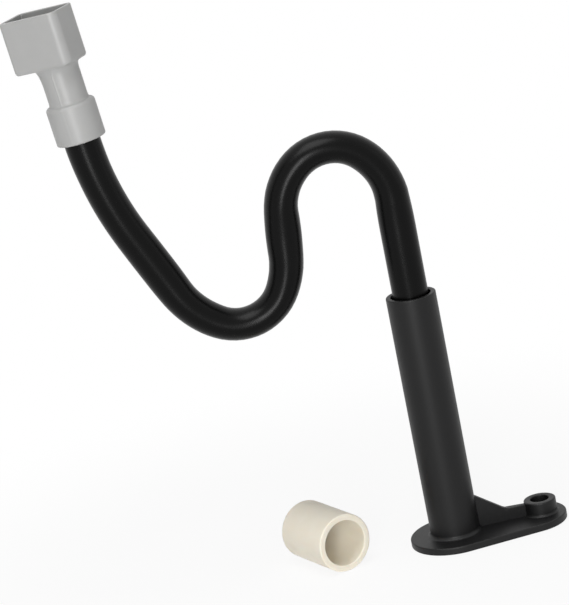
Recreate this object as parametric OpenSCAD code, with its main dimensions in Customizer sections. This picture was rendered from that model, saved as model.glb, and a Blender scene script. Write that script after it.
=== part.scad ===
// Flanged hose and tube assembly.
// A flexible hose joins an oblong push-on cup to a rigid tube that stands on a foot with one
// screw boss. A soft sleeve lies loose beside the foot.
// Frame: origin on the tube's axis at the underside of the foot, +Z up the tube, +X towards the
// screw boss. The hose bends in the XZ plane.

/* [Hose] */
// Outside diameter of the hose
hose_d = 12.7; // [10:0.1:16]
// Wall thickness of the hose
hose_wall = 2; // [1:0.1:3]
// Length of hose that stands straight above the mouth of the tube
hose_riser = 35; // [20:1:60]
// Radius of the crown of the arch, at the middle of the hose
arch_r = 17.5; // [15:0.5:30]
// Length of the straight leg between the arch and the dip
leg_len = 15; // [5:1:40]
// Radius of the bottom of the dip, at the middle of the hose
dip_r = 17; // [15:0.5:30]
// Length of the straight run that climbs from the dip
run_len = 24; // [5:1:60]
// Radius of the last, gentle bend below the cup
ease_r = 114; // [60:5:200]

/* [Tube] */
// Height of the tube's mouth above the underside of the foot
tube_h = 92.5; // [60:0.5:150]
// Outside diameter of the tube
tube_d = 17.8; // [17:0.1:24]
// Depth of the wider mouth
mouth_depth = 6; // [2:0.5:15]
// Gap all round between the hose and the wider mouth
mouth_gap = 0.8; // [0.3:0.1:1]
// Depth of the hose below the tube's mouth
hose_seat_depth = 55; // [20:1:56]
// Diameter of the outlet below the end of the hose
outlet_d = 9.6; // [6:0.1:10]

/* [Foot] */
// Thickness of the foot plate
plate_t = 2.6; // [1.5:0.1:5]
// Radius of the foot plate round the tube
plate_r = 16.4; // [14:0.1:24]
// Radius of the foot plate's narrow end
toe_r = 12.8; // [9:0.1:16]
// Distance from the tube's axis to the middle of the narrow end
toe_x = 28; // [20:0.5:45]
// Distance from the tube's axis to the screw hole
boss_x = 32; // [24:0.5:45]
// Outside diameter of the screw boss
boss_d = 11.6; // [10:0.1:16]
// Height of the screw boss above the underside of the foot
boss_h = 7.8; // [5:0.1:15]
// Diameter of the screw hole
screw_hole_d = 6.8; // [3:0.1:7.5]
// Thickness of the gusset between the tube and the boss
gusset_t = 2; // [1:0.1:4]
// Height of the gusset where it meets the tube
gusset_h = 14.5; // [8:0.5:30]
// Height of the gusset where it meets the boss
gusset_low_h = 7; // [4:0.1:7]
// Length of the gusset's slope, outwards from the tube's wall
gusset_slope = 10.5; // [4:0.5:14]
// Radius of the fillet at the tube's base
base_fillet = 1.4; // [0.5:0.1:3]

/* [Cup] */
// Length of the cup, outside
cup_len = 22.2; // [20:0.1:32]
// Width of the cup, outside
cup_wid = 15; // [14.5:0.5:20]
// Height of the cup
cup_h = 18.5; // [10:0.5:30]
// Wall thickness of the cup
cup_wall = 1.2; // [0.8:0.1:1.4]
// Thickness of the cup's floor
cup_floor = 2.5; // [2:0.1:5]
// Radius of the upright corners at the cup's long end
cup_corner_r = 1.6; // [1.5:0.1:4]
// Radius of the upright corners at the cup's short end
cup_nose_r = 3.2; // [1.5:0.1:4]
// Distance of the neck from the middle of the cup, along the cup
neck_shift = 1.9; // [0:0.1:2]
// Turn of the cup about the neck
cup_turn = 31; // [0:1:90]
// Outside diameter of the neck
neck_d = 13.7; // [12:0.1:14.2]
// Length of the neck between the collar and the cup
neck_len = 13.5; // [8:0.5:30]
// Radius of the hollow curve that joins the neck to the cup
flare_r = 6; // [3:0.5:8]
// Outside diameter of the collar
collar_d = 17.2; // [17:0.1:22]
// Length of the collar
collar_len = 13.5; // [8:0.5:25]
// Radius of the collar's upper edge
collar_shoulder_r = 1.3; // [0.5:0.1:2]
// Radius of the collar's lower edge
collar_lip_r = 0.5; // [0.2:0.1:0.8]

/* [Sleeve] */
// Outside diameter of the sleeve
sleeve_d = 21; // [19:0.5:30]
// Inside diameter of the sleeve
sleeve_bore_d = 16.4; // [10:0.1:17]
// Length of the sleeve
sleeve_len = 26.5; // [10:0.5:50]
// Distance of the loose sleeve to the left of the tube's axis
sleeve_away = 46; // [40:1:80]
// Distance of the loose sleeve behind the tube's axis
sleeve_back = 4; // [-20:1:20]
// Turn of the loose sleeve's axis from the +X direction
sleeve_turn = -65; // [-90:1:0]

/* [Fits] */
// Radial clearance of a hose end that turns in its socket
hose_fit = 0.08; // [0.04:0.01:0.1]
// Clearance between a hose end and the shoulder that stops it
hose_end_gap = 0.3; // [0.1:0.1:0.5]
// Thickness of the step between the collar's socket and the neck
collar_step = 1.2; // [0.8:0.1:3]

/* [Hidden] */
$fn = 64;

// Extra depth of a cut through a face, so that no skin is left
over = 0.5;

hose_r = hose_d / 2;
hose_bore_r = hose_r - hose_wall;
seat_r = hose_r + hose_fit;
tube_r = tube_d / 2;
mouth_r = hose_r + mouth_gap;
hose_foot_z = tube_h - hose_seat_depth;
boss_r = boss_d / 2;
collar_r = collar_d / 2;
neck_r = neck_d / 2;
collar_seat_len = collar_len - collar_step;

// How far the neck's hollow curve stops short of the cup's long sides
flare_inset = 0.1;

// Hairline between two lengths of the hose, and the core inside its wall that bridges it
hairline = 0.01;
core_len = 3;
core_inset = 0.5;

// The hose's route from its lower end to its upper end. Each length is [size, turn]: a turn of
// 0 is a straight of that length, and any other is a bend of that radius, turning by so many
// degrees, with a positive turn towards -X on the way up.
HOSE_ROUTE = [
    [hose_seat_depth - hose_end_gap + hose_riser, 0],
    [24, 50],
    [arch_r, 80],
    [22, 45],
    [leg_len, 0],
    [30, -25],
    [dip_r, -90],
    [32, -35],
    [run_len, 0],
    [ease_r, -19.5],
    [collar_seat_len - hose_end_gap, 0],
];
ROUTE_START = [0, hose_foot_z + hose_end_gap, 90];

// Where the route stands, [x, z, heading], after one more length from a place
function step_on(at, length) =
    length[1] == 0
        ? [at[0] + length[0] * cos(at[2]), at[1] + length[0] * sin(at[2]), at[2]]
        : let (
              side = sign(length[1]),
              out = at[2] + length[1]
          )
          [
              at[0] + side * length[0] * (sin(out) - sin(at[2])),
              at[1] - side * length[0] * (cos(out) - cos(at[2])),
              out
          ];

// Where the route stands before its length number n
function route_at(n) = n == 0 ? ROUTE_START : step_on(route_at(n - 1), HOSE_ROUTE[n - 1]);

cup_at = route_at(len(HOSE_ROUTE) - 1);
cup_lean = cup_at[2] - 90;

// A ring of wall between two radii, from z = 0 up
module pipe(outer, inner, height) {
    difference() {
        cylinder(r = outer, h = height);
        translate([0, 0, -over]) cylinder(r = inner, h = height + 2 * over);
    }
}

// One length of the hose's wall, from z = 0 up
module hose_length(length) {
    if (length[1] == 0) {
        pipe(hose_r, hose_bore_r, length[0] - hairline);
    } else {
        side = sign(length[1]);
        translate([-side * length[0], 0, 0])
            mirror([side > 0 ? 0 : 1, 0, 0])
                rotate([90, 0, 0])
                    rotate_extrude(
                        angle = abs(length[1]) - hairline / length[0] * 180 / PI,
                        $fn = 180
                    )
                        translate([length[0], 0])
                            difference() {
                                circle(r = hose_r);
                                circle(r = hose_bore_r);
                            }
    }
}

// What follows in its braces, stood where the route is before its length number n
module on_route(n) {
    at = route_at(n);
    translate([at[0], 0, at[1]])
        rotate([0, 90 - at[2], 0])
            children();
}

module hose() {
    last = len(HOSE_ROUTE) - 1;
    color("#141414") {
        for (n = [0 : last]) {
            on_route(n) hose_length(HOSE_ROUTE[n]);
        }
        for (n = [1 : last]) {
            on_route(n)
                translate([0, 0, -core_len / 2])
                    pipe(hose_r - core_inset, hose_bore_r + core_inset, core_len);
        }
    }
}

// Outline of the foot plate: a wide round end, a narrow one and the two lines that touch both
module foot_outline() {
    touch = acos((plate_r - toe_r) / toe_x);
    circle(r = plate_r, $fn = 128);
    translate([toe_x, 0]) circle(r = toe_r, $fn = 128);
    polygon([
        [plate_r * cos(touch), plate_r * sin(touch)],
        [plate_r * cos(touch), -plate_r * sin(touch)],
        [toe_x + toe_r * cos(touch), -toe_r * sin(touch)],
        [toe_x + toe_r * cos(touch), toe_r * sin(touch)],
    ]);
}

// The hollow fillet round a post that stands on a face at z = 0
module base_ring(post_r, fillet_r) {
    rotate_extrude($fn = 128)
        difference() {
            translate([post_r - over, 0]) square([over + fillet_r, fillet_r]);
            translate([post_r + fillet_r, fillet_r]) circle(r = fillet_r, $fn = 64);
        }
}

module gusset() {
    slope_end_x = tube_r + gusset_slope;
    translate([0, gusset_t / 2, 0])
        rotate([90, 0, 0])
            linear_extrude(height = gusset_t)
                polygon([
                    [tube_r - over, 0],
                    [boss_x - boss_r + over, 0],
                    [boss_x - boss_r + over, gusset_low_h],
                    [slope_end_x, gusset_low_h],
                    [tube_r, gusset_h],
                    [tube_r - over, gusset_h],
                ]);
}

module flanged_tube() {
    color("#1c1c1c")
        difference() {
            union() {
                linear_extrude(height = plate_t) foot_outline();
                cylinder(r = tube_r, h = tube_h, $fn = 128);
                translate([0, 0, plate_t]) base_ring(tube_r, base_fillet);
                translate([boss_x, 0, 0]) cylinder(r = boss_r, h = boss_h);
                gusset();
            }
            translate([0, 0, -over]) cylinder(d = outlet_d, h = tube_h);
            translate([0, 0, hose_foot_z]) cylinder(r = seat_r, h = hose_seat_depth + over);
            translate([0, 0, tube_h - mouth_depth]) cylinder(r = mouth_r, h = mouth_depth + over);
            translate([boss_x, 0, -over]) cylinder(d = screw_hole_d, h = boss_h + 2 * over);
        }
}

// A round collar with its edges eased, from z = 0 up
module collar() {
    rotate_extrude($fn = 128) {
        translate([0, collar_lip_r])
            square([collar_r, collar_len - collar_lip_r - collar_shoulder_r]);
        square([collar_r - collar_lip_r, collar_len]);
        square([collar_r - collar_shoulder_r, collar_len]);
        intersection() {
            translate([collar_r - collar_lip_r, collar_lip_r]) circle(r = collar_lip_r, $fn = 32);
            square([collar_r, collar_len]);
        }
        translate([collar_r - collar_shoulder_r, collar_len - collar_shoulder_r])
            circle(r = collar_shoulder_r, $fn = 48);
    }
}

// The neck with its hollow curve, from z = 0 up to the cup's underside
module neck() {
    widest = cup_wid / 2 - flare_inset;
    rise = sqrt(pow(flare_r, 2) - pow(flare_r - (widest - neck_r), 2));
    rotate_extrude($fn = 128) {
        square([neck_r, neck_len + cup_floor / 2]);
        difference() {
            translate([0, neck_len - rise]) square([widest, rise + cup_floor / 2]);
            translate([neck_r + flare_r, neck_len - rise]) circle(r = flare_r, $fn = 180);
        }
    }
}

// Outline of the cup, set in by so much, with its rounder corners at its +X end
module cup_outline(inset) {
    half_len = cup_len / 2;
    half_wid = cup_wid / 2;
    long_r = cup_corner_r - inset;
    short_r = cup_nose_r - inset;
    tail = cup_corner_r - half_len;
    tip = half_len - cup_nose_r;
    long_y = half_wid - cup_corner_r;
    short_y = half_wid - cup_nose_r;
    polygon([
        [tail, inset - half_wid],
        [tip, inset - half_wid],
        [half_len - inset, -short_y],
        [half_len - inset, short_y],
        [tip, half_wid - inset],
        [tail, half_wid - inset],
        [inset - half_len, long_y],
        [inset - half_len, -long_y],
    ]);
    for (side = [-1, 1]) {
        translate([tail, side * long_y]) circle(r = long_r, $fn = 48);
        translate([tip, side * short_y]) circle(r = short_r, $fn = 48);
    }
}

module inlet_cup() {
    cup_z = collar_len + neck_len;
    color("#a9a9a9")
        translate([cup_at[0], 0, cup_at[1]])
            rotate([0, -cup_lean, 0])
                rotate([0, 0, -cup_turn])
                    difference() {
                        union() {
                            collar();
                            translate([0, 0, collar_len]) neck();
                            translate([-neck_shift, 0, cup_z])
                                linear_extrude(height = cup_h) cup_outline(0);
                        }
                        translate([0, 0, -over]) cylinder(r = seat_r, h = collar_seat_len + over);
                        cylinder(r = hose_bore_r, h = cup_z + cup_h);
                        translate([-neck_shift, 0, cup_z + cup_floor])
                            linear_extrude(height = cup_h) cup_outline(cup_wall);
                    }
}

module sleeve() {
    color("#f1efe0")
        translate([-sleeve_away, sleeve_back, sleeve_d / 2])
            rotate([0, 0, sleeve_turn])
                rotate([0, 90, 0])
                    translate([0, 0, -sleeve_len / 2])
                        pipe(sleeve_d / 2, sleeve_bore_d / 2, sleeve_len);
}

flanged_tube();
hose();
inlet_cup();
sleeve();
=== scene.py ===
"""Finished surfaces of a flanged hose and tube assembly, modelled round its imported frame.

The sizes held by the classes are in millimetres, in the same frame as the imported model: the
origin is on the tube's axis at the underside of the foot, +Z runs up the tube and +X points at
the screw boss. Each shell is drawn as a pile of rings, one extruded from the last.
"""

from __future__ import annotations

import logging
import math
from dataclasses import dataclass, field
from enum import Enum
from typing import Any, Callable, Iterable, Mapping, Sequence

import bmesh
import bpy
from mathutils import Matrix, Vector

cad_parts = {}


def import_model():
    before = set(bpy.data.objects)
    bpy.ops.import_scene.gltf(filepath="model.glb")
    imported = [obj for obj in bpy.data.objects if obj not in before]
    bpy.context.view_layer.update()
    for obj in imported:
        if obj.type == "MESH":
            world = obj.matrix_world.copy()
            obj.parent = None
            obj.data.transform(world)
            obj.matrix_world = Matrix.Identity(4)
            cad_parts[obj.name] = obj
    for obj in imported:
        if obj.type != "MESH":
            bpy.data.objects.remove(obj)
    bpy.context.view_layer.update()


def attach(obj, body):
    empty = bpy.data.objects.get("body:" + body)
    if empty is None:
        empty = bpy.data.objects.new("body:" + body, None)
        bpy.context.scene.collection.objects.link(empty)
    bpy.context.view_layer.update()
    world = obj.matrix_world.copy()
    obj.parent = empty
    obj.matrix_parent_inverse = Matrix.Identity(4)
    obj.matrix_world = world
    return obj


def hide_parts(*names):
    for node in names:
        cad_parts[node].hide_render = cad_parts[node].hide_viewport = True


LOG = logging.getLogger("assembly")
MM = 0.001
CORNER_LAYER = "corner"
COLUMN_LAYER = "column"
SMOOTH_ANGLE = math.radians(38)
# Vertices nearer than WELD become one, and places nearer than NEAR count as the same.
WELD = 0.002
NEAR = 0.01


class Body(Enum):
    """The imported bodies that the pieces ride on."""

    TUBE = "flanged_tube"
    HOSE = "hose"
    CUP = "inlet_cup"
    SLEEVE = "sleeve"


class Slot(Enum):
    """The record's material slots."""

    TUBE = "tube_black"
    HOSE = "hose_black"
    CUP = "cup_grey"
    SLEEVE = "sleeve_cream"


class Bend(Enum):
    """How the rings between two given ones run."""

    STRAIGHT = "straight"
    SIDEWAYS_FIRST = "sideways first"
    UPRIGHT_FIRST = "upright first"


class Join(Enum):
    """What one solid does to another."""

    UNION = "UNION"
    DIFFERENCE = "DIFFERENCE"


# ---------------------------------------------------------------- working in edit mode


def only(piece: bpy.types.Object) -> None:
    """Selects one piece alone and makes it active.

    Args:
        piece: The object to select.
    """
    bpy.ops.object.select_all(action="DESELECT")
    piece.select_set(True)
    bpy.context.view_layer.objects.active = piece


def settle(piece: bpy.types.Object) -> None:
    """Writes a piece's place and turn into its mesh, so that the object is at the origin."""
    only(piece)
    bpy.ops.object.transform_apply(location=True, rotation=True, scale=True)


def set_down(
    piece: bpy.types.Object, turn: Matrix, place: tuple[float, float, float]
) -> None:
    """Turns a piece about the origin, moves it to its place and settles it there.

    Args:
        piece: The object, drawn about the origin.
        turn: How it is turned.
        place: Where its origin goes.
    """
    piece.rotation_euler = turn.to_euler()
    piece.location = [number * MM for number in place]
    settle(piece)


def edit(piece: bpy.types.Object) -> bmesh.types.BMesh:
    """Opens a piece in edit mode, with vertices to select and nothing selected.

    Args:
        piece: The object to open.

    Returns:
        The mesh that is being edited.
    """
    only(piece)
    bpy.ops.object.mode_set(mode="EDIT")
    bpy.ops.mesh.select_mode(type="VERT")
    bpy.ops.mesh.select_all(action="DESELECT")
    return bmesh.from_edit_mesh(piece.data)


def leave_edit() -> None:
    """Goes back to object mode."""
    bpy.ops.object.mode_set(mode="OBJECT")


def pick(piece: bpy.types.Object, wanted: Callable[[Vector], bool]) -> int:
    """Selects the vertices of the edited piece that stand in a wanted place.

    Args:
        piece: The object that is open in edit mode.
        wanted: Says whether a place, in metres, is wanted.

    Returns:
        How many vertices were selected.
    """
    bpy.ops.mesh.select_all(action="DESELECT")
    mesh = bmesh.from_edit_mesh(piece.data)
    count = 0
    for vertex in mesh.verts:
        if wanted(vertex.co):
            vertex.select = True
            count += 1
    mesh.select_flush_mode()
    bmesh.update_edit_mesh(piece.data, loop_triangles=False, destructive=False)
    return count


def apply_modifier(piece: bpy.types.Object, kind: str, **settings: Any) -> None:
    """Adds one modifier to a piece and applies it.

    Args:
        piece: The object that gets the modifier.
        kind: Blender's name for the type of modifier.
        settings: The modifier's own settings.
    """
    only(piece)
    modifier = piece.modifiers.new(kind.title(), kind)
    for name, value in settings.items():
        setattr(modifier, name, value)
    bpy.ops.object.modifier_apply(modifier=modifier.name)


def face_outwards(piece: bpy.types.Object) -> None:
    """Merges the doubles of a closed shell and points its faces outwards."""
    edit(piece)
    bpy.ops.mesh.select_all(action="SELECT")
    bpy.ops.mesh.remove_doubles(threshold=WELD * MM)
    bpy.ops.mesh.normals_make_consistent(inside=False)
    leave_edit()


def smooth(piece: bpy.types.Object) -> None:
    """Shades a piece smooth below SMOOTH_ANGLE, with its flat faces kept flat."""
    only(piece)
    bpy.ops.object.shade_smooth_by_angle(angle=SMOOTH_ANGLE)
    apply_modifier(piece, "WEIGHTED_NORMAL", keep_sharp=True, weight=60)


def join_solid(piece: bpy.types.Object, other: bpy.types.Object, how: Join) -> None:
    """Unites a second solid with a piece, or cuts it away, and removes the second one.

    Args:
        piece: The solid that is kept.
        other: The solid that is united or cut away.
        how: Which of the two is done.
    """
    apply_modifier(piece, "BOOLEAN", operation=how.value, solver="EXACT", object=other)
    bpy.data.objects.remove(other)


# ---------------------------------------------------------------- rings


@dataclass(frozen=True)
class Corner:
    """One round corner of a ring: its middle and its radius."""

    x: float
    y: float
    r: float


@dataclass(frozen=True)
class Ring:
    """One closed cross-section: its height and its round corners in turn, from +X by +Y."""

    z: float
    corners: tuple[Corner, ...]


def round_ring(z: float, r: float, count: int = 4) -> Ring:
    """A round ring about the axis.

    Args:
        z: Its height.
        r: Its radius.
        count: How many corners share the circle.

    Returns:
        The ring.
    """
    return Ring(z, (Corner(0.0, 0.0, r),) * count)


def oblong_ring(
    z: float, left: float, right: float, half_wid: float, left_r: float, right_r: float
) -> Ring:
    """A rounded oblong that reaches from -left to right along X.

    Args:
        z: Its height.
        left: How far it reaches towards -X.
        right: How far it reaches towards +X.
        half_wid: How far it reaches along Y each way.
        left_r: The radius of its corners at the -X end.
        right_r: The radius of its corners at the +X end.

    Returns:
        The ring.
    """
    tip, tail = right - right_r, left_r - left
    short_y, long_y = half_wid - right_r, half_wid - left_r
    return Ring(
        z,
        (
            Corner(tip, short_y, right_r),
            Corner(tail, long_y, left_r),
            Corner(tail, -long_y, left_r),
            Corner(tip, -short_y, right_r),
        ),
    )


def hollow(part: float) -> float:
    """How far a quarter-round hollow stands out at a part of its height below its top."""
    return 1 - math.sqrt(1 - (1 - part) ** 2) if part < 1 else 0.0


def column_of(angle: float, columns: int) -> int:
    """The number of the column that an angle in degrees falls in."""
    return int(angle / 360.0 * columns)


def between(a: float, b: float, part: float) -> float:
    """The number that lies so far of the way from a to b."""
    return a + (b - a) * part


def rings_to(a: Ring, b: Ring, bend: Bend, steps: int) -> list[Ring]:
    """The rings that lead from one to another.

    Args:
        a: The ring that the run starts from, which isn't in the result.
        b: The ring that it ends on.
        bend: The shape of the run.
        steps: How many rings it has.

    Returns:
        The rings, the last of them b.
    """
    rings = []
    for step in range(1, steps + 1):
        turn = math.pi / 2 * step / steps
        if bend is Bend.SIDEWAYS_FIRST:
            across, up = math.sin(turn), 1 - math.cos(turn)
        elif bend is Bend.UPRIGHT_FIRST:
            across, up = 1 - math.cos(turn), math.sin(turn)
        else:
            across = up = step / steps
        corners = tuple(
            Corner(
                between(p.x, q.x, across), between(p.y, q.y, across), between(p.r, q.r, across)
            )
            for p, q in zip(a.corners, b.corners)
        )
        rings.append(Ring(between(a.z, b.z, up), corners))
    return rings


@dataclass
class RingPile:
    """A shell drawn as one ring extruded into the next, and closed from the last to the first.

    Attributes:
        name: The name of the object.
        rings: The rings in order.
        columns: How many vertices each ring has.
        splits: The angles, in degrees from +X by +Y, at which one corner ends and the next
            begins. The last corner ends where the first begins.
        at: Where the axis stands, along X.
    """

    name: str
    rings: list[Ring] = field(default_factory=list)
    columns: int = 128
    splits: tuple[float, ...] = (90.0, 180.0, 270.0, 360.0)
    at: float = 0.0

    def to(self, ring: Ring, bend: Bend = Bend.STRAIGHT, steps: int = 1) -> RingPile:
        """Adds a run of rings.

        Args:
            ring: The ring that the run ends on.
            bend: The shape of the run.
            steps: How many rings it has.

        Returns:
            The pile itself.
        """
        if self.rings:
            self.rings.extend(rings_to(self.rings[-1], ring, bend, steps))
        else:
            self.rings.append(ring)
        return self

    def corner_of(self, angle: float) -> int:
        """The number of the corner that an angle in degrees belongs to."""
        angle %= 360.0
        for number, end in enumerate(self.splits):
            if angle < end:
                return number
        return 0

    def build(self, closed: bool = True) -> bpy.types.Object:
        """Draws the shell.

        Args:
            closed: Whether the last ring is bridged to the first.

        Returns:
            The object.
        """
        bpy.ops.object.select_all(action="DESELECT")
        first = self.rings[0]
        bpy.ops.mesh.primitive_circle_add(
            vertices=self.columns,
            radius=first.corners[0].r * MM,
            location=(0.0, 0.0, first.z * MM),
            rotation=(0.0, 0.0, math.pi / self.columns),
        )
        piece = bpy.context.active_object
        piece.name = piece.data.name = self.name
        settle(piece)
        self._number_corners(piece)
        edit(piece)
        start = Ring(first.z, (Corner(0.0, 0.0, first.corners[0].r),) * len(self.splits))
        loop = self._take_selected(piece, everything=True)
        self._shape(piece, loop, start, first)
        for last, ring in zip(self.rings, self.rings[1:]):
            self._select(piece, loop)
            bpy.ops.mesh.extrude_region_move(
                TRANSFORM_OT_translate={"value": (0.0, 0.0, (ring.z - last.z) * MM)}
            )
            loop = self._take_selected(piece)
            self._shape(piece, loop, last, ring)
        if closed:
            bpy.ops.mesh.select_all(action="DESELECT")
            bpy.ops.mesh.select_non_manifold(
                extend=False,
                use_wire=False,
                use_boundary=True,
                use_multi_face=False,
                use_non_contiguous=False,
                use_verts=False,
            )
            bpy.ops.mesh.bridge_edge_loops()
        if self.at:
            bpy.ops.mesh.select_all(action="SELECT")
            bpy.ops.transform.translate(value=(self.at * MM, 0.0, 0.0))
        leave_edit()
        face_outwards(piece)
        return piece

    def _number_corners(self, piece: bpy.types.Object) -> None:
        """Numbers each vertex with its corner and its column round the ring."""
        corner = piece.data.attributes.new(CORNER_LAYER, "INT", "POINT")
        column = piece.data.attributes.new(COLUMN_LAYER, "INT", "POINT")
        for vertex in piece.data.vertices:
            angle = math.degrees(math.atan2(vertex.co.y, vertex.co.x)) % 360.0
            corner.data[vertex.index].value = self.corner_of(angle)
            column.data[vertex.index].value = column_of(angle, self.columns)

    def _take_selected(
        self, piece: bpy.types.Object, everything: bool = False
    ) -> list[list[int]]:
        """The indices of the selected vertices, by corner.

        Args:
            piece: The object that is open in edit mode.
            everything: Whether all vertices count as selected.

        Returns:
            One list of indices for each corner.
        """
        mesh = bmesh.from_edit_mesh(piece.data)
        mesh.verts.index_update()
        layer = mesh.verts.layers.int[CORNER_LAYER]
        groups: list[list[int]] = [[] for _ in self.splits]
        for vertex in mesh.verts:
            if vertex.select or everything:
                groups[vertex[layer]].append(vertex.index)
        return groups

    def _select(self, piece: bpy.types.Object, groups: Iterable[Sequence[int]]) -> None:
        """Selects the vertices of some corners of the ring, and nothing else."""
        bpy.ops.mesh.select_all(action="DESELECT")
        mesh = bmesh.from_edit_mesh(piece.data)
        mesh.verts.ensure_lookup_table()
        for group in groups:
            for index in group:
                mesh.verts[index].select = True
        mesh.select_flush_mode()

    def _shape(
        self, piece: bpy.types.Object, loop: list[list[int]], old: Ring, new: Ring
    ) -> None:
        """Turns a ring that still has the old outline into the new one.

        Args:
            piece: The object that is open in edit mode.
            loop: The ring's vertices by corner.
            old: The outline that it has.
            new: The outline that it gets.
        """
        if len(set(old.corners)) == 1 and len(set(new.corners)) == 1:
            work = [(loop, old.corners[0], new.corners[0])]
        else:
            work = [([group], a, b) for group, a, b in zip(loop, old.corners, new.corners)]
        for groups, a, b in work:
            if a == b:
                continue
            self._select(piece, groups)
            if a.r != b.r:
                grow = b.r / a.r
                bpy.ops.transform.resize(
                    value=(grow, grow, 1.0), center_override=(a.x * MM, a.y * MM, new.z * MM)
                )
            if (a.x, a.y) != (b.x, b.y):
                bpy.ops.transform.translate(value=((b.x - a.x) * MM, (b.y - a.y) * MM, 0.0))


# ---------------------------------------------------------------- finishes


def linear(hex_colour: str) -> tuple[float, float, float, float]:
    """An sRGB hex colour as linear red, green, blue and an alpha of 1."""
    values = [int(hex_colour[i : i + 2], 16) / 255 for i in (1, 3, 5)]
    red, green, blue = (
        v / 12.92 if v <= 0.04045 else ((v + 0.055) / 1.055) ** 2.4 for v in values
    )
    return red, green, blue, 1.0


def add_node(
    tree: bpy.types.NodeTree,
    kind: str,
    inputs: Mapping[str | int, Any] | None = None,
    **settings: Any,
) -> bpy.types.Node:
    """Adds a node with its settings and links.

    Args:
        tree: The node tree.
        kind: Blender's name for the type of node.
        inputs: A value, or the output socket to link, for each named input.
        settings: The node's own settings.

    Returns:
        The node.
    """
    node = tree.nodes.new(kind)
    for name, value in settings.items():
        setattr(node, name, value)
    for name, value in (inputs or {}).items():
        if isinstance(value, bpy.types.NodeSocket):
            tree.links.new(value, node.inputs[name])
        else:
            node.inputs[name].default_value = value
    return node


# The parts of their ranges that the grain's noise and the ambient occlusion behind the painted
# recess shade make use of.
GRAIN_SPAN = (0.3, 0.7)
OPEN_SPAN = (0.1, 0.75)
# How far red, green and blue light go under a surface, beside each other.
SCATTER_REACH = (1.0, 0.75, 0.55)


@dataclass(frozen=True)
class Finish:
    """The surface that a mould or die leaves on a plastic or rubber.

    Attributes:
        name: What the material is and how its surface was made.
        colour: The main colour.
        mottle_colour: The colour that the main one drifts to.
        mottle: The size of the drift.
        roughness: The smoothest and the roughest that the surface gets.
        grain: The spacing of the fine unevenness.
        grain_depth: Its depth.
        draw: How many times longer the grain is along Z than across.
        specular: The shader's specular level.
        painted_recess_shade: How much painted shade darkens the colour in a recess, from 0 to 1.
        painted_shade_reach: How far the ambient occlusion behind that painted shade looks for the
            surface across from it.
        ior: The index of refraction.
        scatter: The weight of the light that goes under the surface.
        scatter_depth: How deep it goes.
    """

    name: str
    colour: str
    mottle_colour: str
    mottle: float
    roughness: tuple[float, float]
    grain: float
    grain_depth: float
    draw: float = 1.0
    specular: float = 0.5
    painted_recess_shade: float = 0.0
    painted_shade_reach: float = 12.0
    ior: float = 1.5
    scatter: float = 0.0
    scatter_depth: float = 0.0

    def make(self) -> bpy.types.Material:
        """Makes the material.

        Returns:
            The material.
        """
        material = bpy.data.materials.new(self.name)
        material.use_nodes = True
        tree = material.node_tree
        tree.nodes.clear()
        place = add_node(tree, "ShaderNodeTexCoord").outputs["Object"]
        drift = add_node(
            tree,
            "ShaderNodeTexNoise",
            {"Vector": place, "Scale": 1 / (self.mottle * MM), "Detail": 3.0},
        ).outputs["Fac"]
        colour = add_node(
            tree,
            "ShaderNodeMix",
            {0: drift, 6: linear(self.colour), 7: linear(self.mottle_colour)},
            data_type="RGBA",
        ).outputs[2]
        # Painted shade: ambient occlusion darkens the base colour in recesses and creases.
        if self.painted_recess_shade:
            openness = add_node(
                tree, "ShaderNodeAmbientOcclusion", {"Distance": self.painted_shade_reach * MM}
            ).outputs["AO"]
            shut, wide = OPEN_SPAN
            shade = add_node(
                tree,
                "ShaderNodeMapRange",
                {"Value": openness, 1: shut, 2: wide, 3: 1.0 - self.painted_recess_shade, 4: 1.0},
            ).outputs["Result"]
            colour = add_node(
                tree,
                "ShaderNodeMix",
                {0: 1.0, 6: colour, 7: shade},
                data_type="RGBA",
                blend_type="MULTIPLY",
            ).outputs[2]
        drawn = add_node(
            tree,
            "ShaderNodeMapping",
            {"Vector": place, "Scale": (1.0, 1.0, 1.0 / self.draw)},
        ).outputs["Vector"]
        grain = add_node(
            tree,
            "ShaderNodeTexNoise",
            {"Vector": drawn, "Scale": 1 / (self.grain * MM), "Detail": 2.0},
        ).outputs["Fac"]
        fine, coarse = GRAIN_SPAN
        smoothest, roughest = self.roughness
        rough = add_node(
            tree,
            "ShaderNodeMapRange",
            {"Value": grain, 1: fine, 2: coarse, 3: smoothest, 4: roughest},
        ).outputs["Result"]
        bump = add_node(
            tree,
            "ShaderNodeBump",
            {"Height": grain, "Distance": self.grain_depth * MM, "Strength": 1.0},
        ).outputs["Normal"]
        shader = add_node(
            tree,
            "ShaderNodeBsdfPrincipled",
            {
                "Base Color": colour,
                "Roughness": rough,
                "Normal": bump,
                "IOR": self.ior,
                "Specular IOR Level": self.specular,
                "Subsurface Weight": self.scatter,
                "Subsurface Radius": SCATTER_REACH,
                "Subsurface Scale": self.scatter_depth * MM,
            },
        )
        add_node(tree, "ShaderNodeOutputMaterial", {"Surface": shader.outputs["BSDF"]})
        return material


# Black polypropylene, moulded against a blasted tool: an even satin with a faint long grain
# where the tube drew out of the mould.
TUBE_FINISH = Finish(
    name="black_polypropylene_moulded",
    colour="#080808",
    mottle_colour="#0c0c0d",
    mottle=14.0,
    roughness=(0.42, 0.5),
    grain=0.35,
    grain_depth=0.004,
    draw=6.0,
    specular=0.3,
    ior=1.49,
)
# Black synthetic rubber, drawn through a polished die: close to a gloss, with soft edges to
# its highlight.
HOSE_FINISH = Finish(
    name="black_rubber_extruded",
    colour="#030303",
    mottle_colour="#050505",
    mottle=9.0,
    roughness=(0.26, 0.32),
    grain=0.5,
    grain_depth=0.003,
    specular=0.12,
    ior=1.5,
)
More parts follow.
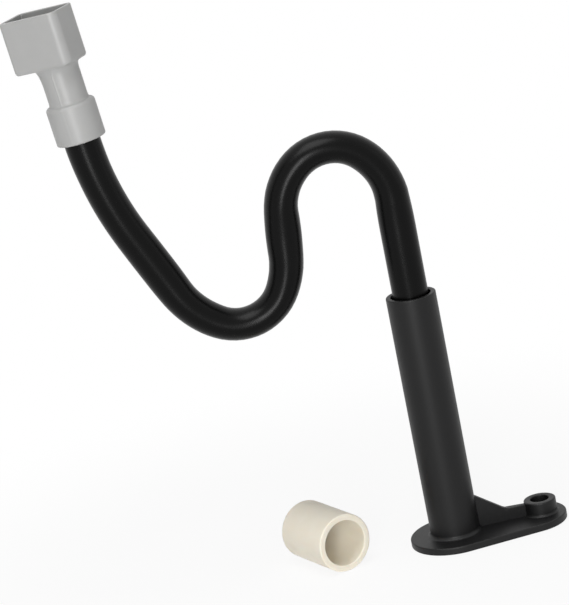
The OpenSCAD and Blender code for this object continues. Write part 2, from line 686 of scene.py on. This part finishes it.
# Grey polypropylene, moulded in a polished tool: pale and slightly waxy, with a soft gloss.
# Its mouth and its creases get painted shade: ambient occlusion darkens the base colour there.
CUP_FINISH = Finish(
    name="grey_polypropylene_moulded",
    colour="#a1a1a0",
    mottle_colour="#a9a9a8",
    mottle=8.0,
    roughness=(0.34, 0.44),
    grain=0.45,
    grain_depth=0.005,
    draw=3.0,
    specular=0.5,
    ior=1.49,
    scatter=0.05,
    scatter_depth=0.6,
    painted_recess_shade=0.9,
)
# Cream silicone rubber, cast in a matt mould: light goes a little way in and comes out warmer.
SLEEVE_FINISH = Finish(
    name="cream_silicone_cast",
    colour="#f1ebdc",
    mottle_colour="#ece4d3",
    mottle=6.0,
    roughness=(0.5, 0.62),
    grain=0.4,
    grain_depth=0.006,
    specular=0.4,
    ior=1.41,
    scatter=0.25,
    scatter_depth=1.6,
)


def dress(
    piece: bpy.types.Object, finish: Finish, body: Body, node: str
) -> bpy.types.Object:
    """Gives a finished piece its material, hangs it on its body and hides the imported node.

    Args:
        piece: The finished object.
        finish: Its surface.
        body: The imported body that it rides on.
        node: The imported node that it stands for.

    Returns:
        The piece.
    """
    for layer in (CORNER_LAYER, COLUMN_LAYER):
        found = piece.data.attributes.get(layer)
        if found:
            piece.data.attributes.remove(found)
    piece.data.materials.clear()
    piece.data.materials.append(finish.make())
    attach(piece, body.value)
    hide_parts(node)
    LOG.info("%s: %d faces", piece.name, len(piece.data.polygons))
    return piece


# ---------------------------------------------------------------- the pieces


@dataclass
class FlangedTube:
    """The rigid tube on its foot, with the screw boss and the gusset."""

    tube_r: float = 8.9
    tube_h: float = 92.5
    mouth_r: float = 7.15
    mouth_depth: float = 6.0
    seat_r: float = 6.43
    seat_z: float = 37.5
    outlet_r: float = 4.8
    plate_t: float = 2.6
    plate_r: float = 16.4
    toe_r: float = 12.8
    toe_x: float = 28.0
    rim_low_r: float = 0.3
    rim_top_r: float = 0.45
    base_fillet: float = 1.4
    lip_r: float = 0.4
    boss_x: float = 32.0
    boss_r: float = 5.8
    boss_h: float = 7.8
    boss_edge_r: float = 0.5
    boss_fillet: float = 0.9
    hole_r: float = 3.4
    hole_ease: float = 0.35
    gusset_t: float = 2.0
    gusset_h: float = 14.5
    gusset_low_h: float = 7.0
    gusset_slope: float = 10.5
    gusset_edge_r: float = 0.3
    gusset_hollow: float = 1.5
    sunk_boss: float = 0.03
    sunk_web: float = 0.5

    def foot_ring(self, z: float, inset: float) -> Ring:
        """The foot plate's outline at a height, set in by so much."""
        toe = Corner(self.toe_x, 0.0, self.toe_r - inset)
        return Ring(z, (toe, Corner(0.0, 0.0, self.plate_r - inset), toe))

    def tube_ring(self, z: float, r: float) -> Ring:
        """A ring about the tube's axis, with as many corners as the foot's outline has."""
        return round_ring(z, r, 3)

    def shell(self) -> bpy.types.Object:
        """Draws the foot plate and the tube with all of its bore."""
        touch = math.degrees(math.acos((self.plate_r - self.toe_r) / self.toe_x))
        pile = RingPile("flanged_tube_moulding", columns=160, splits=(touch, 360.0 - touch, 360.0))
        low, top = self.rim_low_r, self.rim_top_r
        foot, ring = self.foot_ring, self.tube_ring
        pile.to(ring(0.0, self.outlet_r + low))
        pile.to(foot(0.0, low))
        pile.to(foot(low, 0.0), Bend.SIDEWAYS_FIRST, 3)
        pile.to(foot(self.plate_t - top, 0.0))
        pile.to(foot(self.plate_t, top), Bend.UPRIGHT_FIRST, 4)
        pile.to(ring(self.plate_t, self.tube_r + self.base_fillet))
        pile.to(ring(self.plate_t + self.base_fillet, self.tube_r), Bend.SIDEWAYS_FIRST, 8)
        pile.to(ring(self.tube_h - self.lip_r, self.tube_r))
        pile.to(ring(self.tube_h, self.tube_r - self.lip_r), Bend.UPRIGHT_FIRST, 4)
        pile.to(ring(self.tube_h, self.mouth_r + low))
        pile.to(ring(self.tube_h - low, self.mouth_r), Bend.SIDEWAYS_FIRST, 3)
        pile.to(ring(self.tube_h - self.mouth_depth, self.mouth_r))
        pile.to(ring(self.tube_h - self.mouth_depth, self.seat_r))
        pile.to(ring(self.seat_z, self.seat_r))
        pile.to(ring(self.seat_z, self.outlet_r))
        pile.to(ring(low, self.outlet_r))
        return pile.build()

    def boss(self) -> bpy.types.Object:
        """Draws the screw boss with the hollow fillet at its foot."""
        foot_r = self.boss_r + self.boss_fillet
        pile = RingPile("boss", columns=96, at=self.boss_x)
        pile.to(round_ring(self.plate_t / 2, self.hole_r))
        pile.to(round_ring(self.plate_t / 2, foot_r))
        pile.to(round_ring(self.plate_t - self.sunk_boss, foot_r))
        pile.to(
            round_ring(self.plate_t + self.boss_fillet, self.boss_r), Bend.SIDEWAYS_FIRST, 7
        )
        pile.to(round_ring(self.boss_h - self.boss_edge_r, self.boss_r))
        pile.to(
            round_ring(self.boss_h, self.boss_r - self.boss_edge_r), Bend.UPRIGHT_FIRST, 5
        )
        pile.to(round_ring(self.boss_h, self.hole_r))
        return pile.build()

    def drill(self) -> bpy.types.Object:
        """Draws the cutter of the screw hole, with both of its mouths eased."""
        ease, beyond = self.hole_ease, 1.0
        pile = RingPile("drill", columns=96, at=self.boss_x)
        pile.to(round_ring(-beyond, self.hole_r + ease))
        pile.to(round_ring(0.0, self.hole_r + ease))
        pile.to(round_ring(ease, self.hole_r), Bend.UPRIGHT_FIRST, 3)
        pile.to(round_ring(self.boss_h - ease, self.hole_r))
        pile.to(round_ring(self.boss_h, self.hole_r + ease), Bend.UPRIGHT_FIRST, 4)
        pile.to(round_ring(self.boss_h + beyond, self.hole_r + ease))
        cutter = pile.build(closed=False)
        edit(cutter)
        for z in (-beyond, self.boss_h + beyond):
            pick(cutter, lambda place, z=z: abs(place.z - z * MM) < NEAR * MM)
            bpy.ops.mesh.edge_face_add()
        leave_edit()
        face_outwards(cutter)
        return cutter

    def gusset(self) -> bpy.types.Object:
        """Draws the upright web between the tube and the boss."""
        start = self.tube_r - self.sunk_web
        end = self.boss_x - self.boss_r + self.sunk_web
        low, foot_z = self.gusset_low_h, self.plate_t / 2
        bpy.ops.object.select_all(action="DESELECT")
        bpy.ops.mesh.primitive_cube_add(
            size=1.0,
            location=((start + end) / 2 * MM, 0.0, (low + foot_z) / 2 * MM),
            scale=((end - start) * MM, self.gusset_t * MM, (low - foot_z) * MM),
        )
        web = bpy.context.active_object
        settle(web)
        slope_end = self.tube_r + self.gusset_slope
        edit(web)
        for x in (self.tube_r, slope_end):
            bpy.ops.mesh.select_all(action="SELECT")
            bpy.ops.mesh.bisect(plane_co=(x * MM, 0.0, 0.0), plane_no=(1.0, 0.0, 0.0))
        inner, tiny = (self.tube_r + 10 * NEAR) * MM, NEAR * MM
        top = low * MM - tiny
        pick(web, lambda place: place.x < inner and place.z > top)
        bpy.ops.transform.translate(value=(0.0, 0.0, (self.gusset_h - low) * MM))
        pick(web, lambda place: abs(place.x - slope_end * MM) < tiny and place.z > top)
        bpy.ops.mesh.bevel(offset=self.gusset_hollow * MM, segments=6, affect="EDGES")
        bpy.ops.mesh.select_all(action="DESELECT")
        bpy.ops.mesh.select_mode(type="EDGE")
        mesh = bmesh.from_edit_mesh(web.data)
        above = top - self.gusset_t / 2 * MM
        for side in mesh.edges:
            a, b = (vertex.co for vertex in side.verts)
            along = abs(a.y - b.y) < tiny and abs(a.x - b.x) > tiny
            side.select = along and a.z > above and b.z > above
        mesh.select_flush_mode()
        bpy.ops.mesh.bevel(offset=self.gusset_edge_r * MM, segments=3, affect="EDGES")
        bpy.ops.mesh.select_mode(type="VERT")
        leave_edit()
        face_outwards(web)
        return web

    def build(self) -> bpy.types.Object:
        """Models the whole moulding.

        Returns:
            The finished piece.
        """
        piece = self.shell()
        join_solid(piece, self.boss(), Join.UNION)
        join_solid(piece, self.gusset(), Join.UNION)
        join_solid(piece, self.drill(), Join.DIFFERENCE)
        face_outwards(piece)
        smooth(piece)
        return dress(piece, TUBE_FINISH, Body.TUBE, "flanged_tube")


@dataclass(frozen=True)
class Station:
    """One place on the hose's route.

    Attributes:
        x: Its place along X.
        z: Its height.
        heading: Which way the route runs there, in degrees from +X by +Z.
        pinch: The hose's half width in the plane of its bends.
        spread: Its half width across that plane.
    """

    x: float
    z: float
    heading: float
    pinch: float
    spread: float


@dataclass
class Hose:
    """The bent hose, with one end deep in the tube and the other in the cup's collar.

    Attributes:
        outside_r: Its radius outside.
        wall: The thickness of its wall.
        start: Where its lower end stands, along X and Z.
        route: Its lengths from the lower end up, each a size and a turn in degrees: a turn of 0
            is a straight of that size, and any other is a bend of that radius.
        squeeze: How much of its width it loses in its tightest bend.
        bulge: How much it gains across that bend.
        tightest: The radius at which it loses all of that.
        step: The spacing of its rings along the bends.
        settle: Over how long a stretch its width changes.
        feelers: At how many places along that stretch the bend is felt.
        fade: How much less the farthest of them counts, by the stretch's own length.
        held: The lengths at the two ends that stay round in their sockets.
        columns: How many vertices each ring has.
    """

    outside_r: float = 6.35
    wall: float = 2.0
    start: tuple[float, float] = (0.0, 37.8)
    route: tuple[tuple[float, float], ...] = (
        (89.7, 0.0),
        (24.0, 50.0),
        (17.5, 80.0),
        (22.0, 45.0),
        (15.0, 0.0),
        (30.0, -25.0),
        (17.0, -90.0),
        (32.0, -35.0),
        (24.0, 0.0),
        (114.0, -19.5),
        (12.0, 0.0),
    )
    squeeze: float = 0.12
    bulge: float = 0.09
    tightest: float = 17.0
    step: float = 2.0
    settle: float = 9.0
    feelers: int = 9
    fade: float = 1.6
    held: tuple[float, float] = (58.0, 16.0)
    columns: int = 72

    def lengths(self) -> list[float]:
        """How long each part of the route is."""
        return [size * math.radians(abs(turn)) if turn else size for size, turn in self.route]

    def bend_at(self, along: float) -> float:
        """How tight the route is at a distance from its start, from 0 to 1 at the tightest."""
        for length, (size, turn) in zip(self.lengths(), self.route):
            if along <= length:
                return min(1.0, self.tightest / size) if turn else 0.0
            along -= length
        return 0.0

    def eased_bend(self, along: float, total: float) -> float:
        """The tightness as the hose feels it, evened out along it and nothing in its sockets."""
        spots = [number / (self.feelers - 1) - 0.5 for number in range(self.feelers)]
        near = [self.bend_at(along + self.settle * spot * 2) for spot in spots]
        weights = [1 - abs(spot) * self.fade for spot in spots]
        bend = sum(n * w for n, w in zip(near, weights)) / sum(weights)
        free = min(along - self.held[0], total - self.held[1] - along) / self.settle
        return bend * min(1.0, max(0.0, free))

    def place_at(self, along: float) -> tuple[float, float, float]:
        """Where the route runs at a distance from its start.

        Args:
            along: The distance.

        Returns:
            Its place along X and Z, and its heading in degrees.
        """
        (x, z), heading = self.start, 90.0
        for length, (size, turn) in zip(self.lengths(), self.route):
            part = min(1.0, along / length)
            if turn:
                side, out = math.copysign(size, turn), heading + turn * part
                a, b = math.radians(heading), math.radians(out)
                x += side * (math.sin(b) - math.sin(a))
                z -= side * (math.cos(b) - math.cos(a))
                heading = out
            else:
                x += size * part * math.cos(math.radians(heading))
                z += size * part * math.sin(math.radians(heading))
            along -= length
            if along <= 0:
                break
        return x, z, heading

    def stations(self) -> list[Station]:
        """All the places where the hose gets a ring, from its lower end up."""
        total = sum(self.lengths())
        free = total - self.held[0]
        count = round(free / self.step)
        marks = [0.0, self.held[0] / 2] + [
            self.held[0] + free * i / count for i in range(count + 1)
        ]
        stations = []
        for along in marks:
            x, z, heading = self.place_at(along)
            bend = self.eased_bend(along, total)
            stations.append(
                Station(
                    x,
                    z,
                    heading,
                    self.outside_r * (1 - self.squeeze * bend),
                    self.outside_r * (1 + self.bulge * bend),
                )
            )
        return stations

    def build(self) -> bpy.types.Object:
        """Models the hose ring by ring along its route, then gives it its wall.

        Returns:
            The finished piece.
        """
        stations = self.stations()
        first = stations[0]
        bpy.ops.object.select_all(action="DESELECT")
        bpy.ops.mesh.primitive_circle_add(
            vertices=self.columns,
            radius=self.outside_r * MM,
            location=(first.x * MM, 0.0, first.z * MM),
        )
        piece = bpy.context.active_object
        piece.name = piece.data.name = "bent_hose"
        settle(piece)
        edit(piece)
        bpy.ops.mesh.select_all(action="SELECT")
        for last, now in zip(stations, stations[1:]):
            middle = (now.x * MM, 0.0, now.z * MM)
            bpy.ops.mesh.extrude_region_move(
                TRANSFORM_OT_translate={
                    "value": ((now.x - last.x) * MM, 0.0, (now.z - last.z) * MM)
                }
            )
            turn = math.radians(now.heading - last.heading)
            if turn:
                bpy.ops.transform.rotate(value=turn, orient_axis="Y", center_override=middle)
            grow = now.pinch / last.pinch
            widen = (now.spread / now.pinch) / (last.spread / last.pinch)
            if abs(grow - 1) > 1e-6 or abs(widen - 1) > 1e-6:
                bpy.ops.transform.resize(
                    value=(grow, grow * widen, grow), center_override=middle
                )
        leave_edit()
        face_outwards(piece)
        apply_modifier(piece, "SOLIDIFY", thickness=self.wall * MM, offset=-1.0)
        smooth(piece)
        return dress(piece, HOSE_FINISH, Body.HOSE, "hose")


@dataclass
class InletCup:
    """The grey push-on cup: a round collar and neck below an oblong, open cup.

    Its sizes are along its own axis, which stands at `at` and leans by `lean` after a turn.

    Attributes:
        neck_foot: The width and height of the hollow fillet above the collar.
        flare_left: How far the neck spreads under the cup's long end, and over what height.
        flare_right: The same under its short end.
        flare_side: The same under its long sides.
        edge_r: The rounding of the cup's lower edge at its ends.
        side_edge_r: How far that rounding goes in along its sides.
        corner_fillet: How much tighter the floor's fillet runs at the long end's corners.
        parting_ends: How far the parting line stays clear of the collar's lower rim and of the
            cup's underside.
        scores: Where each upright line stands along X, and how deep it is.
        score_half: Half the width of such a line.
        score_start: How far above the rounded lower edge it starts.
    """

    at: tuple[float, float] = (-100.581, 170.591)
    lean: float = 5.5
    turn: float = 31.0
    socket_r: float = 6.43
    socket_len: float = 12.3
    passage_r: float = 4.35
    collar_r: float = 8.6
    collar_len: float = 13.5
    collar_lip_r: float = 0.5
    collar_shoulder_r: float = 1.3
    neck_r: float = 6.85
    neck_foot: tuple[float, float] = (0.45, 1.6)
    cup_z: float = 27.0
    flare_left: tuple[float, float] = (1.9, 6.8)
    flare_right: tuple[float, float] = (1.5, 2.6)
    flare_side: tuple[float, float] = (0.12, 3.6)
    left: float = 13.0
    right: float = 9.2
    half_wid: float = 7.5
    long_corner_r: float = 1.6
    short_corner_r: float = 3.2
    edge_r: float = 1.2
    side_edge_r: float = 0.42
    cup_h: float = 18.5
    wall: float = 1.2
    rim_r: float = 0.3
    floor_t: float = 2.5
    floor_fillet: float = 0.7
    corner_fillet: float = 0.1
    mouth_ease: float = 0.25
    flare_steps: int = 18
    columns: int = 128
    parting_angle: float = 275.8
    parting_h: float = 0.12
    parting_ends: tuple[float, float] = (0.2, 1.5)
    scores: tuple[tuple[float, float], ...] = ((2.0, 0.1), (-1.3, 0.05))
    score_half: float = 0.28
    score_start: float = 1.0

    def outline(self, z: float, ends: float, sides: float, less: tuple[float, float]) -> Ring:
        """The cup's outline at a height.

        Args:
            z: The height.
            ends: How far its two ends are set in.
            sides: How far its two sides are set in.
            less: How much smaller its corners are, at the long and at the short end.

        Returns:
            The ring.
        """
        return oblong_ring(
            z,
            self.left - ends,
            self.right - ends,
            self.half_wid - sides,
            self.long_corner_r - less[0],
            self.short_corner_r - less[1],
        )

    def wall_ring(self, z: float, inset: float) -> Ring:
        """The cup's outline at a height, set in by so much all round."""
        return self.outline(z, inset, inset, (inset, inset))

    def flare_ring(self, depth: float) -> Ring:
        """The neck's outline at a depth below the cup's underside, where it spreads."""
        left, right, side = (
            width * hollow(depth / height)
            for width, height in (self.flare_left, self.flare_right, self.flare_side)
        )
        r = self.neck_r + side
        near, far = Corner(right, 0.0, r), Corner(-left, 0.0, r)
        return Ring(self.cup_z - depth, (near, far, far, near))

    def pile(self) -> RingPile:
        """All the rings, from the collar's mouth up the outside and down the inside."""
        rim_z = self.cup_z + self.cup_h
        floor_z = self.cup_z + self.floor_t
        ease, rim, wall = self.mouth_ease, self.rim_r, self.wall
        neck, collar, shoulder = self.neck_r, self.collar_r, self.collar_shoulder_r
        foot_wid, foot_h = self.neck_foot
        pile = RingPile("push_on_cup", columns=self.columns)
        pile.to(round_ring(0.0, self.socket_r + ease))
        pile.to(round_ring(0.0, collar - self.collar_lip_r))
        pile.to(round_ring(self.collar_lip_r, collar), Bend.SIDEWAYS_FIRST, 5)
        pile.to(round_ring(self.collar_len - shoulder, collar))
        pile.to(round_ring(self.collar_len, collar - shoulder), Bend.UPRIGHT_FIRST, 8)
        pile.to(round_ring(self.collar_len, neck + foot_wid))
        pile.to(round_ring(self.collar_len + foot_h, neck), Bend.SIDEWAYS_FIRST, 6)
        for step in range(self.flare_steps + 1):
            risen = math.sin(math.pi / 2 * step / self.flare_steps)
            pile.to(self.flare_ring(self.flare_left[1] * (1 - risen)))
        half = self.edge_r / 2
        pile.to(self.outline(self.cup_z, self.edge_r, self.side_edge_r, (half, half)))
        pile.to(self.wall_ring(self.cup_z + self.edge_r, 0.0), Bend.SIDEWAYS_FIRST, 8)
        pile.to(self.wall_ring(rim_z - rim, 0.0))
        pile.to(self.wall_ring(rim_z, rim), Bend.UPRIGHT_FIRST, 4)
        pile.to(self.wall_ring(rim_z, wall - rim))
        pile.to(self.wall_ring(rim_z - rim, wall), Bend.SIDEWAYS_FIRST, 4)
        pile.to(self.wall_ring(floor_z + self.floor_fillet, wall))
        inset = wall + self.floor_fillet
        inner = self.outline(floor_z, inset, inset, (wall + self.corner_fillet, inset))
        pile.to(inner, Bend.UPRIGHT_FIRST, 5)
        pile.to(round_ring(floor_z, self.passage_r + ease))
        pile.to(round_ring(floor_z - ease, self.passage_r), Bend.SIDEWAYS_FIRST, 3)
        pile.to(round_ring(self.socket_len, self.passage_r))
        pile.to(round_ring(self.socket_len, self.socket_r))
        pile.to(round_ring(ease, self.socket_r))
        return pile

    def raise_parting_line(self, piece: bpy.types.Object) -> None:
        """Raises the fine line that the two halves of the mould leave on the collar and neck.

        Args:
            piece: The cup, still upright on its own axis.
        """
        bore_side = (self.socket_r + self.mouth_ease) * MM
        low = self.parting_ends[0] * MM
        high = (self.cup_z - self.parting_ends[1]) * MM
        for angle in (self.parting_angle, self.parting_angle - 180.0):
            column = column_of(angle, self.columns)
            mesh = edit(piece)
            layer = mesh.verts.layers.int[COLUMN_LAYER]
            for vertex in mesh.verts:
                x, y, z = vertex.co
                outside = math.hypot(x, y) > bore_side + NEAR * MM
                vertex.select = vertex[layer] == column and outside and low < z < high
            mesh.select_flush_mode()
            out, reach = math.radians(angle), self.parting_h * MM
            bpy.ops.transform.translate(value=(reach * math.cos(out), reach * math.sin(out), 0.0))
            leave_edit()

    def score_faces(self, piece: bpy.types.Object) -> None:
        """Sinks the faint upright lines of the mould's insert into both long faces.

        Args:
            piece: The cup, still upright on its own axis.
        """
        face = (self.half_wid - NEAR) * MM
        low = (self.cup_z + self.edge_r - NEAR) * MM
        for side in (-1.0, 1.0):
            for x, depth in self.scores:
                for shift in (-self.score_half, 0.0, self.score_half):
                    edit(piece)
                    pick(piece, lambda place: place.y * side > face and place.z > low)
                    bpy.ops.mesh.bisect(
                        plane_co=((x + shift) * MM, 0.0, 0.0), plane_no=(1.0, 0.0, 0.0)
                    )
                    leave_edit()
                edit(piece)
                pick(
                    piece,
                    lambda place: abs(place.x - x * MM) < NEAR * MM
                    and place.y * side > face
                    and place.z > low + self.score_start * MM,
                )
                bpy.ops.transform.translate(value=(0.0, -side * depth * MM, 0.0))
                leave_edit()

    def build(self) -> bpy.types.Object:
        """Models the cup on its own axis, then sets it on the end of the hose.

        Returns:
            The finished piece.
        """
        piece = self.pile().build()
        self.raise_parting_line(piece)
        self.score_faces(piece)
        lean = Matrix.Rotation(math.radians(-self.lean), 3, "Y")
        turn = Matrix.Rotation(math.radians(-self.turn), 3, "Z")
        set_down(piece, lean @ turn, (self.at[0], 0.0, self.at[1]))
        smooth(piece)
        return dress(piece, CUP_FINISH, Body.CUP, "inlet_cup")


@dataclass
class Sleeve:
    """The soft sleeve that lies loose beside the foot."""

    outside_r: float = 10.5
    bore_r: float = 8.2
    length: float = 26.5
    outer_edge_r: float = 0.55
    inner_edge_r: float = 0.4
    place: tuple[float, float] = (-46.0, 4.0)
    turn: float = -65.0

    def build(self) -> bpy.types.Object:
        """Models the sleeve upright, then lays it on its side.

        Returns:
            The finished piece.
        """
        half, out, bore = self.length / 2, self.outside_r, self.bore_r
        outer, inner = self.outer_edge_r, self.inner_edge_r
        pile = RingPile("loose_sleeve", columns=112)
        pile.to(round_ring(-half, bore + inner))
        pile.to(round_ring(-half, out - outer))
        pile.to(round_ring(-half + outer, out), Bend.SIDEWAYS_FIRST, 5)
        pile.to(round_ring(half - outer, out), Bend.STRAIGHT, 6)
        pile.to(round_ring(half, out - outer), Bend.UPRIGHT_FIRST, 5)
        pile.to(round_ring(half, bore + inner))
        pile.to(round_ring(half - inner, bore), Bend.SIDEWAYS_FIRST, 4)
        pile.to(round_ring(-half + inner, bore), Bend.STRAIGHT, 6)
        pile.to(round_ring(-half, bore + inner), Bend.UPRIGHT_FIRST, 4)
        pile.rings.pop()
        piece = pile.build()
        laid = Matrix.Rotation(math.radians(90), 3, "Y")
        turn = Matrix.Rotation(math.radians(self.turn), 3, "Z")
        set_down(piece, turn @ laid, (*self.place, out))
        smooth(piece)
        return dress(piece, SLEEVE_FINISH, Body.SLEEVE, "sleeve")


# ---------------------------------------------------------------- the studio


@dataclass(frozen=True)
class Lamp:
    """One soft oblong lamp.

    Attributes:
        name: Its name.
        azimuth: Where it stands about the object, in degrees from the front to the right.
        elevation: How high, in degrees.
        distance: How far off.
        size: Its width and its height.
        power: Its power in watts.
    """

    name: str
    azimuth: float
    elevation: float
    distance: float
    size: tuple[float, float]
    power: float


@dataclass
class Studio:
    """The plain floor, the lamps, the surroundings and the camera.

    Attributes:
        middle: The place that the camera and the lamps are turned to.
        azimuth: Where the camera stands about it, in degrees from the front to the right.
        elevation: How high the camera stands, in degrees.
        roll: How far the camera is turned about its own line of sight, in degrees.
        distance: How far off it stands.
        lens: Its focal length, for a sensor as wide as `sensor`.
        sensor: That width.
        floor_colour: The colour of the floor's card.
        floor_roughness: The roughness of that card.
        floor_half: Half the width of the floor.
        floor_drop: How far the floor is below the foot and the sleeve.
        shade_near: How far from the middle the floor's shading is kept at its strongest.
        shade_far: How far from the middle none of it is left.
        shade_white: How much of the floor is plain white where the shading is strongest.
        ambient: How strong the light from all round is on the object.
        lamps: The lamps.
    """

    middle: tuple[float, float, float] = (-43.944, 0.0, 99.332)
    azimuth: float = -3.618
    elevation: float = 14.603
    roll: float = -11.526
    distance: float = 858.57
    lens: float = 146.46
    sensor: float = 36.0
    floor_colour: str = "#fafafa"
    floor_roughness: float = 0.6
    floor_half: float = 3000.0
    floor_drop: float = 0.1
    shade_near: float = 90.0
    shade_far: float = 260.0
    shade_white: float = 0.88
    ambient: float = 0.12
    lamps: tuple[Lamp, ...] = (
        Lamp("key", -11.0, 7.0, 900.0, (200.0, 600.0), 5.6),
        Lamp("right_strip", 75.0, 20.0, 900.0, (120.0, 700.0), 0.15),
        Lamp("top", -30.0, 75.0, 900.0, (600.0, 600.0), 5.0),
    )

    def towards(self, azimuth: float, elevation: float) -> Vector:
        """The direction from the object to an azimuth and an elevation in degrees."""
        az, el = math.radians(azimuth), math.radians(elevation)
        return Vector((math.sin(az) * math.cos(el), -math.cos(az) * math.cos(el), math.sin(el)))

    def seen(self, tree: bpy.types.NodeTree) -> bpy.types.NodeSocket:
        """Adds the test for what the camera, a reflection or a clear piece sees directly.

        Args:
            tree: The node tree.

        Returns:
            A socket that is 1 for such a ray and 0 for any other.
        """
        path = add_node(tree, "ShaderNodeLightPath").outputs
        both = add_node(
            tree,
            "ShaderNodeMath",
            {0: path["Is Camera Ray"], 1: path["Is Glossy Ray"]},
            operation="MAXIMUM",
        ).outputs[0]
        return add_node(
            tree, "ShaderNodeMath", {0: both, 1: path["Is Transmission Ray"]}, operation="MAXIMUM"
        ).outputs[0]

    def add_surroundings(self) -> None:
        """Lights the object evenly from all round, on a white background."""
        world = bpy.data.worlds.new("studio")
        bpy.context.scene.world = world
        world.use_nodes = True
        tree = world.node_tree
        tree.nodes.clear()
        strength = add_node(
            tree, "ShaderNodeMapRange", {"Value": self.seen(tree), 3: self.ambient, 4: 1.0}
        ).outputs["Result"]
        back = add_node(
            tree,
            "ShaderNodeBackground",
            {"Color": (1.0, 1.0, 1.0, 1.0), "Strength": strength},
        )
        add_node(tree, "ShaderNodeOutputWorld", {"Surface": back.outputs["Background"]})

    def floor_finish(self) -> bpy.types.Material:
        """White card that keeps the shadow near the object and turns plain white away from it."""
        material = bpy.data.materials.new("white_card")
        material.use_nodes = True
        tree = material.node_tree
        tree.nodes.clear()
        place = add_node(tree, "ShaderNodeTexCoord").outputs["Object"]
        from_middle = add_node(
            tree,
            "ShaderNodeMapping",
            {"Vector": place, "Location": (-self.middle[0] * MM, 0.0, 0.0)},
        ).outputs["Vector"]
        far = add_node(
            tree, "ShaderNodeVectorMath", {0: from_middle}, operation="LENGTH"
        ).outputs["Value"]
        near_by, far_off = self.shade_near * MM, self.shade_far * MM
        fade = add_node(
            tree,
            "ShaderNodeMapRange",
            {"Value": far, 1: near_by, 2: far_off, 3: self.shade_white, 4: 1.0},
            interpolation_type="SMOOTHSTEP",
        ).outputs["Result"]
        plain = add_node(
            tree, "ShaderNodeMath", {0: fade, 1: self.seen(tree)}, operation="MULTIPLY"
        ).outputs[0]
        card = add_node(
            tree,
            "ShaderNodeBsdfPrincipled",
            {"Base Color": linear(self.floor_colour), "Roughness": self.floor_roughness},
        ).outputs["BSDF"]
        white = add_node(tree, "ShaderNodeEmission", {"Strength": 1.0}).outputs["Emission"]
        mixed = add_node(tree, "ShaderNodeMixShader", {0: plain, 1: card, 2: white})
        add_node(tree, "ShaderNodeOutputMaterial", {"Surface": mixed.outputs["Shader"]})
        return material

    def add_floor(self) -> None:
        """Lays the floor just below the foot and the sleeve."""
        bpy.ops.object.select_all(action="DESELECT")
        bpy.ops.mesh.primitive_plane_add(
            size=2 * self.floor_half * MM, location=(0.0, 0.0, -self.floor_drop * MM)
        )
        floor = bpy.context.active_object
        floor.name = "floor"
        settle(floor)
        floor.data.materials.append(self.floor_finish())

    def add_lamps(self) -> None:
        """Stands the soft lamps round the object, each turned to its middle."""
        middle = Vector(self.middle) * MM
        for lamp in self.lamps:
            light = bpy.data.lights.new(lamp.name, "AREA")
            light.shape = "RECTANGLE"
            light.size, light.size_y = (side * MM for side in lamp.size)
            light.energy = lamp.power
            stand = bpy.data.objects.new(lamp.name, light)
            bpy.context.scene.collection.objects.link(stand)
            way = self.towards(lamp.azimuth, lamp.elevation)
            stand.location = middle + way * lamp.distance * MM
            stand.rotation_euler = (-way).to_track_quat("-Z", "Y").to_euler()

    def add_camera(self) -> None:
        """Sets the camera at its place, with its roll."""
        back = self.towards(self.azimuth, self.elevation)
        right = (-back).cross(Vector((0.0, 0.0, 1.0))).normalized()
        up = right.cross(-back)
        roll = math.radians(self.roll)
        across = right * math.cos(roll) + up * math.sin(roll)
        upward = up * math.cos(roll) - right * math.sin(roll)
        lens = bpy.data.cameras.new("camera")
        lens.lens = self.lens
        lens.sensor_width = self.sensor
        lens.clip_start, lens.clip_end = 0.01, 50.0
        camera = bpy.data.objects.new("camera", lens)
        bpy.context.scene.collection.objects.link(camera)
        turned = Matrix((across, upward, back)).transposed().to_4x4()
        place = (Vector(self.middle) + back * self.distance) * MM
        camera.matrix_world = Matrix.Translation(place) @ turned
        bpy.context.scene.camera = camera

    def build(self) -> None:
        """Sets up everything round the object."""
        bpy.context.scene.view_settings.view_transform = "Standard"
        self.add_camera()
        self.add_surroundings()
        self.add_floor()
        self.add_lamps()


def main() -> None:
    """Models every piece in turn and sets up the studio."""
    logging.basicConfig(level=logging.INFO, format="%(name)s: %(message)s")
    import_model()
    for part in (FlangedTube(), Hose(), InletCup(), Sleeve()):
        part.build()
    Studio().build()


if __name__ == "__main__":
    main()
